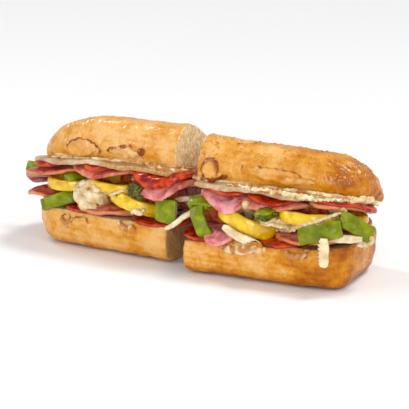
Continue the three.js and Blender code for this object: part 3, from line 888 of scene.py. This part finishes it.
def crumb_of(node, inward, places):
    """1 where the nearest face of the solid was cut or faces the filling."""
    mesh = frame["nodes"][node].data
    corners = [vertex.co.copy() for vertex in mesh.vertices]
    tree = BVHTree.FromPolygons(corners, [tuple(p.vertices) for p in mesh.polygons])
    along = Vector((1 if node.endswith("left") else -1, 0, 0))
    found = np.zeros(len(places))
    for index, place in enumerate(places):
        normal = tree.find_nearest(Vector(place))[1]
        if normal.dot(along) > FACING or normal.dot(inward) > FACING:
            found[index] = 1.0
    return found


def bake_and_shade(node, places, crumb):
    """How dark the crust is: darker below and at the far right end. On the bottom breads the cut
    crumb is painted dark as shade, lighter near its top.
    """
    low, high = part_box(node)
    height = (places[:, 2] - low.z) / (high.z - low.z)
    toast_and_shade = EVEN + CLOUDS * (smooth_noise(places, 22 * MM, 3) - 0.5)
    toast_and_shade += STREAKS * (smooth_noise(places * STREAKS_RUN, 5 * MM, 4) - 0.5)
    if node.startswith("bottom"):
        toast_and_shade += UNDERSIDE * eased(height, 0.36, 0.04)
        # painted shade: the cut crumb of a bottom bread is darkened, less near its top
        toast_and_shade = np.where(crumb > 0.5, SHADED_CUT_FACE - 0.35 * eased(height, 0.80, 0.95), toast_and_shade)
    else:
        toast_and_shade += SKIRT * eased(height, 0.5, 0.05)
    if node.endswith("right"):
        end = (places[:, 0] - low.x) / (high.x - low.x)
        toast_and_shade += RIGHT_HALF + FAR_END * eased(end, 0.45, 1.0)
    return toast_and_shade


def moisten(node, places, normals, crumb):
    """Fat from the filling makes the upper crust shine, most at the far ends."""
    if node.startswith("bottom"):
        return 0.1 * (crumb < CRUST_ONLY)
    ends = eased(np.abs(places[:, 0]), 40 * MM, 80 * MM)
    return (crumb < CRUST_ONLY) * eased(normals[:, 2], -0.2, 0.5) * (0.6 + 0.4 * ends)


# %% [markdown]
# Browned cheese on the crust
#
# Cheese ran out over the edges of the bread in the oven and dried to thin patches. Each has
# a thicker, almost black rim. A patch is an uneven oval on the skin: the points inside it
# are lifted and painted, and those on its rim are lifted more.

# %% Patches of browned cheese
# pixel is the middle of the patch, and half holds its half width and half height in
# millimetres. rim, ragged, dark, pale and amber say how strong each trait of it is.
PATCHES = {
    "top_bread_left": {
        "arch": dict(pixel=(82, 150), half=(11, 7.5), rim=1.0, ragged=0.8, pale=0.55,
                     amber=0.08),
        "tongue": dict(pixel=(126, 157), half=(12, 5), rim=0.9, pale=0.6, amber=0.1),
        "knob": dict(pixel=(141, 152), half=(2.2, 2.2), rim=1.0, dark=0.9, ragged=0.4),
        "at the left end": dict(pixel=(62, 156), half=(7, 2), rim=0.5),
    },
    "top_bread_right": {
        "arch": dict(pixel=(209, 170), half=(5.5, 7), rim=1.6, ragged=0.4, pale=0.3,
                     amber=0.65),
        "crust above the ham": dict(pixel=(214, 181), half=(8, 1.6), rim=0.8, dark=0.8),
        "long": dict(pixel=(272, 173), half=(17, 3), rim=0.9, pale=0.5, amber=0.3),
        "low": dict(pixel=(296, 183), half=(10, 3), rim=0.4, pale=0.7),
    },
    "bottom_bread_left": {
        "at the left end": dict(pixel=(66, 220), half=(4, 4), rim=1.2, pale=0.5, amber=0.25),
        "second": dict(pixel=(81, 221), half=(5, 2.6), rim=1.0, pale=0.6, amber=0.25),
        "drop": dict(pixel=(127, 227), half=(5.5, 4.5), rim=1.1, pale=0.6, amber=0.25),
    },
    "bottom_bread_right": {
        "pool": dict(pixel=(241, 251), half=(15, 4), rim=0.5),
        "fried": dict(pixel=(293, 255), half=(8, 5), rim=1.4, pale=0.25, amber=0.4),
        "at the right end": dict(pixel=(362, 246), half=(6, 4.5), rim=0.8, pale=0.7),
    },
}
# the place in millimetres along the loaf and above the table, and the half sizes
BACK_PATCHES = {
    "top_bread_left": ((-52, 50), (12, 5)),
    "top_bread_right": ((62, 47), (13, 4)),
    "bottom_bread_left": ((-30, 19), (7, 4)),
    "bottom_bread_right": ((84, 20), (9, 3.5)),
}
LIFT = 0.5 * MM
RIM_LIFT = 0.45 * MM
RIM_WIDTH = 0.55
# how far the outline wanders in wide bays and in fine teeth
BAYS = 0.30
TEETH = 0.16
# how much of the paint stays on the lower side of a patch
LOWER_MELT = 0.45
LOWER_RIM = 0.25


def patch(places, centre, normal, spot, seed):
    """The melt, scorch and lift of one patch at every point."""
    half, rim = spot["half"], spot["rim"]
    ragged, dark = spot.get("ragged", 1.0), spot.get("dark", 0.0)
    level = Vector((1, 0, 0)) - normal * normal.x
    level.normalize()
    up = normal.cross(level)
    if up.z < 0:
        up = -up
    offset = places - np.array(centre)
    across = offset @ np.array(level) / (half[0] * MM)
    rise = offset @ np.array(up) / (half[1] * MM)
    depth = offset @ np.array(normal) / (max(half) * MM)
    uneven = BAYS * ragged * (smooth_noise(places, min(half) * 1.1 * MM, seed) - 0.5)
    uneven += TEETH * ragged * (smooth_noise(places, 2 * MM, seed + 20) - 0.5)
    reach = np.sqrt(across ** 2 + rise ** 2 + 0.6 * depth ** 2) + uneven
    inside = eased(reach, 1.05, 0.85)
    ring = np.exp(-((reach - 1.0) / (RIM_WIDTH / min(half))) ** 2)
    ring *= smooth_noise(places, 6 * MM, seed + 60) ** 0.5
    upper = eased(rise, -0.5, 0.5)
    shade = rim * ring * (LOWER_RIM + (1 - LOWER_RIM) * upper) + dark * inside
    spots = eased(smooth_noise(places, 3 * MM, seed + 40), 0.7, 0.95)
    amber = spot.get("amber", 0.0) * eased(reach, 0.2, 1.0) * upper
    shade = np.maximum(shade, inside * np.maximum(0.25 * spots, amber))
    melt = inside * (LOWER_MELT + (1 - LOWER_MELT) * upper) * spot.get("pale", 1.0)
    return melt, shade, inside * LIFT + ring * rim * RIM_LIFT


def brown_the_bread(piece, node):
    """Adds all the patches of one bread, as paint and as height."""
    mesh = piece.data
    places, normals = points_of(mesh)
    surface = surface_of([piece])
    melt, scorch, lift = (np.zeros(len(places)) for _ in range(3))
    wanted = [(seen_at(surface, *spot["pixel"]), spot) for spot in PATCHES[node].values()]
    spot, half = BACK_PATCHES[node]
    wanted.append((behind_at(surface, *spot), dict(half=half, rim=1.0, pale=0.5, amber=0.3)))
    for number, ((centre, normal), spot) in enumerate(wanted):
        if centre is None:
            print(node, "patch", number, "missed")
            continue
        inside, shade, height = patch(places, centre, normal, spot, number + 1)
        melt = np.maximum(melt, inside)
        scorch = np.maximum(scorch, shade)
        lift = np.maximum(lift, height)
    moved = places + normals * lift[:, None]
    moved[:, 2] = np.maximum(moved[:, 2], 0)
    move_points(mesh, moved)
    paint(mesh, "melt", melt)
    paint(mesh, "scorch", scorch)


# along is the axis that the folds follow each other on, pitch and depth are in millimetres
WRINKLES = {
    "top_bread_left": dict(along=0, pitch=2.6, depth=0.28, start=0.08, end=0.60),
    "top_bread_right": dict(along=1, pitch=3.4, depth=0.36, start=0.62, end=1.30),
}
WRINKLE_FADE = 0.18
WRINKLE_WANDER = 5


def wrinkle(piece, along, pitch, depth, start, end):
    """Fine folds where the crust dried and shrank. The places are shares of its length."""
    mesh = piece.data
    places, normals = points_of(mesh)
    low, high = places[:, 0].min(), places[:, 0].max()
    share = (places[:, 0] - low) / (high - low)
    there = eased(share, start, start + WRINKLE_FADE) * eased(share, end, end - WRINKLE_FADE)
    there *= eased(normals[:, 2], 0.0, 0.4) if along == 0 else 1
    wander = WRINKLE_WANDER * smooth_noise(places, 12 * MM, 8)
    folds = np.sin(2 * math.pi * places[:, along] / (pitch * MM) + wander)
    folds *= smooth_noise(places, 4 * MM, 12)
    move_points(mesh, places + normals * (there * folds * depth * MM)[:, None])


# %% Make the breads
for node, inward in BREADS.items():
    piece = softened(node, "bread")
    mesh = piece.data
    places, normals = points_of(mesh)
    crumb = blurred(mesh, crumb_of(node, inward, places), 2)
    if node.startswith("top"):
        places[:, 2] -= SETTLE * crumb * eased(-normals[:, 2], 0.3, 0.8)
        move_points(mesh, places)
    paint(mesh, "crumb", crumb)
    paint(mesh, "toast_and_shade", bake_and_shade(node, places, crumb))
    paint(mesh, "wet", moisten(node, places, normals, crumb))
    brown_the_bread(piece, node)
    if node in WRINKLES:
        wrinkle(piece, **WRINKLES[node])
    serve(piece, node)
    made[node] = piece
    print(node, len(mesh.polygons), "faces")

# %% [markdown]
# Melted cheese that ran
#
# Between the slices the cheese ran in strings, drops and lumps. Each run is a line through a
# few places, and a Geometry Nodes tree sets balls of cheese along it and melts them together
# as one volume. The line lies on the pieces that the camera's rays meet, so every run rests
# on what carries it.

# %% The tree that melts balls along a line


def run_tree():
    """Inputs, in metres: the spacing of the balls, their shaking and the voxel size."""
    tree, given = new_tree("melted_run", {"Spacing": "Float", "Shake": "Float",
                                          "Voxel": "Float", "Seed": "Int"})
    line = add(tree, "GeometryNodeMeshToCurve", {"Mesh": given["Geometry"]})
    even = add(tree, "GeometryNodeResampleCurve",
               {"Curve": line.outputs[0], "Length": given["Spacing"]}, mode="LENGTH")
    balls = add(tree, "GeometryNodeCurveToPoints", {"Curve": even.outputs[0]}, mode="EVALUATED")
    shaken = add(tree, "FunctionNodeRandomValue", {0: (-1.0, -1.0, -1.0), "Seed": given["Seed"]},
                 data_type="FLOAT_VECTOR")
    moved = add(tree, "GeometryNodeSetPosition",
                {"Geometry": balls.outputs[0],
                 "Offset": scaled(tree, shaken.outputs[0], given["Shake"])})
    girth = add(tree, "GeometryNodeInputNamedAttribute", {"Name": "girth"}, data_type="FLOAT")
    uneven = add(tree, "FunctionNodeRandomValue", {2: 0.7, 3: 1.15, "Seed": given["Seed"]},
                 data_type="FLOAT")
    fine = {"Voxel Size": given["Voxel"]}
    volume = add(tree, "GeometryNodePointsToVolume",
                 {"Points": moved.outputs[0], **fine,
                  "Radius": times(tree, girth.outputs[0], uneven.outputs[1])},
                 resolution_mode="VOXEL_SIZE")
    skin = add(tree, "GeometryNodeVolumeToMesh", {"Volume": volume.outputs[0], **fine},
               resolution_mode="VOXEL_SIZE")
    close_tree(tree, given, skin.outputs[0], smooth=True)
    return tree


MELTED_RUN = run_tree()
RUN_VOXEL = 0.38 * MM
RUN_SMOOTHING = 6
BALLS_OVERLAP = 0.45
MOST_BROWN = 0.78


def melted_run(name, line, girths, shake, seed, brown):
    """One run of cheese along a line of places, as thick at each place as its girth."""
    mesh = bpy.data.meshes.new(name + "_line")
    mesh.from_pydata(line, [(k, k + 1) for k in range(len(line) - 1)], [])
    layer = mesh.attributes.new("girth", "FLOAT", "POINT")
    layer.data.foreach_set("value", np.array(girths, np.float32))
    piece = bpy.data.objects.new(name, mesh)
    SCENE.objects.link(piece)
    run_through(piece, MELTED_RUN, {
        "Spacing": BALLS_OVERLAP * min(girths), "Shake": shake * MM, "Voxel": RUN_VOXEL,
        "Seed": seed, "Finish": FINISHES["melted_cheese"]})
    smooth_over(piece, RUN_SMOOTHING)
    mesh = fix_shape(piece)
    places, _ = points_of(mesh)
    patches = smooth_noise(places, 3.5 * MM, seed)
    shade = 0.45 * eased(patches, 0.75, 0.97) + brown * (0.4 + 0.8 * patches)
    paint(mesh, "brown", np.minimum(shade, MOST_BROWN))
    # the runs carry no painted shade
    paint(mesh, "deep_shade", np.zeros(len(places)))
    serve(piece, name)
    return piece


# %% [markdown]
# The runs of this sandwich
#
# They are named for what they look like in the photograph, and given by the pixels that they
# pass, or at the back by the millimetres along the loaf and above the table. Their thickness
# and shaking are in millimetres, and brown says how far they baked; by the cut it is also
# painted shade. A run sinks into its carrier by a third of its thickness.

# %% Strings, drops and lumps
# thickness, shaking, how far it baked (by the cut also painted shade), and the places that it
# passes
RUNS = {
    "lump_left": (3.6, 1.0, 0, (77, 187), (80, 196), (88, 206), (98, 207)),
    "lump_left_top": (2.6, 0.8, 0, (78, 185), (90, 184), (100, 190)),
    "string_left": (1.0, 0.3, 0, (104, 193), (114, 194), (126, 189)),
    "bits_left": (1.9, 0.8, 0, (133, 211), (139, 212), (145, 211)),
    # by the cut, the drape and the lip after it are browned, and darker still as painted shade
    "drape_left": (1.8, 0.7, 0.75, (147, 167), (160, 170), (174, 172), (188, 172)),
    "lip_left": (0.9, 0.4, 0.4, (52, 157), (70, 158), (95, 159), (115, 161), (140, 163)),
    "browned_and_shaded_lip_left": (1.3, 0.5, 0.85, (138, 163), (152, 164), (165, 166), (178, 167), (190, 169)),
    "fried_right": (1.5, 0.7, 1.2, (284, 251), (289, 255), (296, 258), (303, 256), (307, 251)),
    "fried_left": (1.4, 0.5, 1.1, (62, 217), (66, 223), (72, 220)),
    "drop_left": (1.5, 0.6, 0.9, (120, 222), (126, 229), (133, 227)),
    "drip_at_the_cut": (2.0, 0.3, 0.9, (193, 176), (197, 177), (201, 178)),
    "lump_by_the_fold": (3.4, 0.5, 0, (246, 204), (249, 210), (250, 216)),
    "string_right": (1.2, 0.5, 0, (254, 219), (262, 225), (272, 224), (282, 226), (292, 227),
                     (300, 226), (316, 222), (330, 217), (342, 213)),
    "string_right_low": (1.6, 0.6, 0, (276, 229), (285, 231), (296, 229)),
    "bits_right": (1.8, 0.8, 0, (331, 210), (338, 211), (344, 209)),
    "lip_right": (1.0, 0.4, 0.55, (206, 181), (226, 182), (250, 185), (275, 189), (300, 192),
                  (325, 195), (350, 198), (370, 199)),
    "edge_right": (1.1, 0.9, 0.4, (228, 185), (250, 189), (270, 192), (290, 196), (312, 198),
                   (334, 200), (352, 202)),
    "lump_at_the_end": (1.9, 0.8, 0, (352, 203), (360, 200), (368, 200), (377, 203)),
    "melt_low_right": (2.2, 0.9, 0.6, (223, 248), (233, 249), (245, 250), (256, 248)),
    "melt_low_end": (2.3, 0.8, 0, (357, 245), (364, 243), (371, 239)),
}
BACK_RUNS = {
    "back_string_left": (1.5, 0.8, 0, (-70, 40), (-55, 36), (-40, 34), (-25, 38)),
    "back_lip_left": (1.2, 0.6, 0.4, (-80, 44), (-60, 43), (-40, 43), (-20, 43)),
    "back_string_right": (1.5, 0.8, 0, (38, 36), (55, 38), (72, 34), (90, 37)),
    "back_lip_right": (1.2, 0.6, 0.4, (35, 43), (55, 43), (75, 42), (95, 42)),
}
SINK = 0.35
# a run is thick in the middle and thin at its ends, like this part of a sine's half turn
TAPER = (0.2, 0.8)

skin = surface_of(made.values())
for number, (name, run) in enumerate([*RUNS.items(), *BACK_RUNS.items()]):
    girth, shake, brown, *path = run
    meet = behind_at if name in BACK_RUNS else seen_at
    met = [meet(skin, *spot) for spot in path]
    line = [place + normal * girth * MM * SINK for place, normal in met if place is not None]
    if len(line) < 2:
        print(name, "missed")
        continue
    girths = girth * MM * np.sin(np.linspace(*TAPER, len(line)) * math.pi)
    made[name] = melted_run(name, line, girths, shake, number, brown)
    print(name, len(made[name].data.polygons), "faces")

# %% [markdown]
# Crumbs on the crust
#
# The top crust of the right half is strewn with browned crumbs, and the left one with a few.
# Geometry Nodes scatter small lumps over the upward faces: denser where the painted value
# "strewn" is high, each laid along the crust and sized at random from a fixed seed.

# %% The tree that strews crumbs


def strewn_tree():
    """Inputs: crumbs per square metre, the size of a crumb in metres, and the seed."""
    tree, given = new_tree("strewn_crumbs", {"Density": "Float", "Size": "Float", "Seed": "Int"})
    strewn = add(tree, "GeometryNodeInputNamedAttribute", {"Name": "strewn"}, data_type="FLOAT")
    density = times(tree, strewn.outputs[0], given["Density"])
    spots = add(tree, "GeometryNodeDistributePointsOnFaces",
                {"Mesh": given["Geometry"], "Density": density, "Seed": given["Seed"]})
    crumb = add(tree, "GeometryNodeMeshIcoSphere", {"Radius": given["Size"], "Subdivisions": 1})
    size = add(tree, "FunctionNodeRandomValue", {2: 0.45, 3: 1.0, "Seed": given["Seed"]},
               data_type="FLOAT")
    flat = add(tree, "ShaderNodeCombineXYZ", {0: 1.3, 1: 0.9, 2: 0.6})
    laid = add(tree, "GeometryNodeInstanceOnPoints",
               {"Points": spots.outputs["Points"], "Instance": crumb.outputs[0],
                "Rotation": spots.outputs["Rotation"],
                "Scale": scaled(tree, flat.outputs[0], size.outputs[1])})
    close_tree(tree, given, laid.outputs[0], smooth=True)
    return tree


STREWN = strewn_tree()

# %% Strew the crumbs
# crumbs per square metre, and the radius of the largest in millimetres
CRUMBS = {"top_bread_right": (65000, 0.95), "top_bread_left": (8000, 0.6)}

for number, (node, (density, size)) in enumerate(CRUMBS.items()):
    places, normals = points_of(made[node].data)
    crust = made[node].data.attributes["crumb"].data
    inside = np.empty(len(places), np.float32)
    crust.foreach_get("value", inside)
    upward = eased(normals[:, 2], 0.1, 0.6) * (inside < CRUST_ONLY)
    clusters = eased(smooth_noise(places, 12 * MM, 5), 0.35, 0.8)
    paint(made[node].data, "strewn", upward * (0.15 + 0.85 * clusters))
    piece = bpy.data.objects.new("crumbs_on_" + node, made[node].data.copy())
    SCENE.objects.link(piece)
    run_through(piece, STREWN, {"Density": float(density), "Size": size * MM, "Seed": number,
                                "Finish": FINISHES["bread"]})
    mesh = fix_shape(piece)
    places, _ = points_of(mesh)
    for name in ("crumb", "melt", "scorch", "wet"):
        paint(mesh, name, np.zeros(len(places)))
    paint(mesh, "toast_and_shade", 0.15 + 0.5 * smooth_noise(places, 5 * MM, 9))
    serve(piece, piece.name)
    print(piece.name, len(mesh.polygons), "faces")

# %% [markdown]
# Sizes
#
# The sizes before and after are printed side by side.

# %% Finish
shown_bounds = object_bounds()
for label, corners in (("solids", cad_bounds), ("shown", shown_bounds)):
    print(label, [[round(v / MM, 1) for v in corner] for corner in corners])
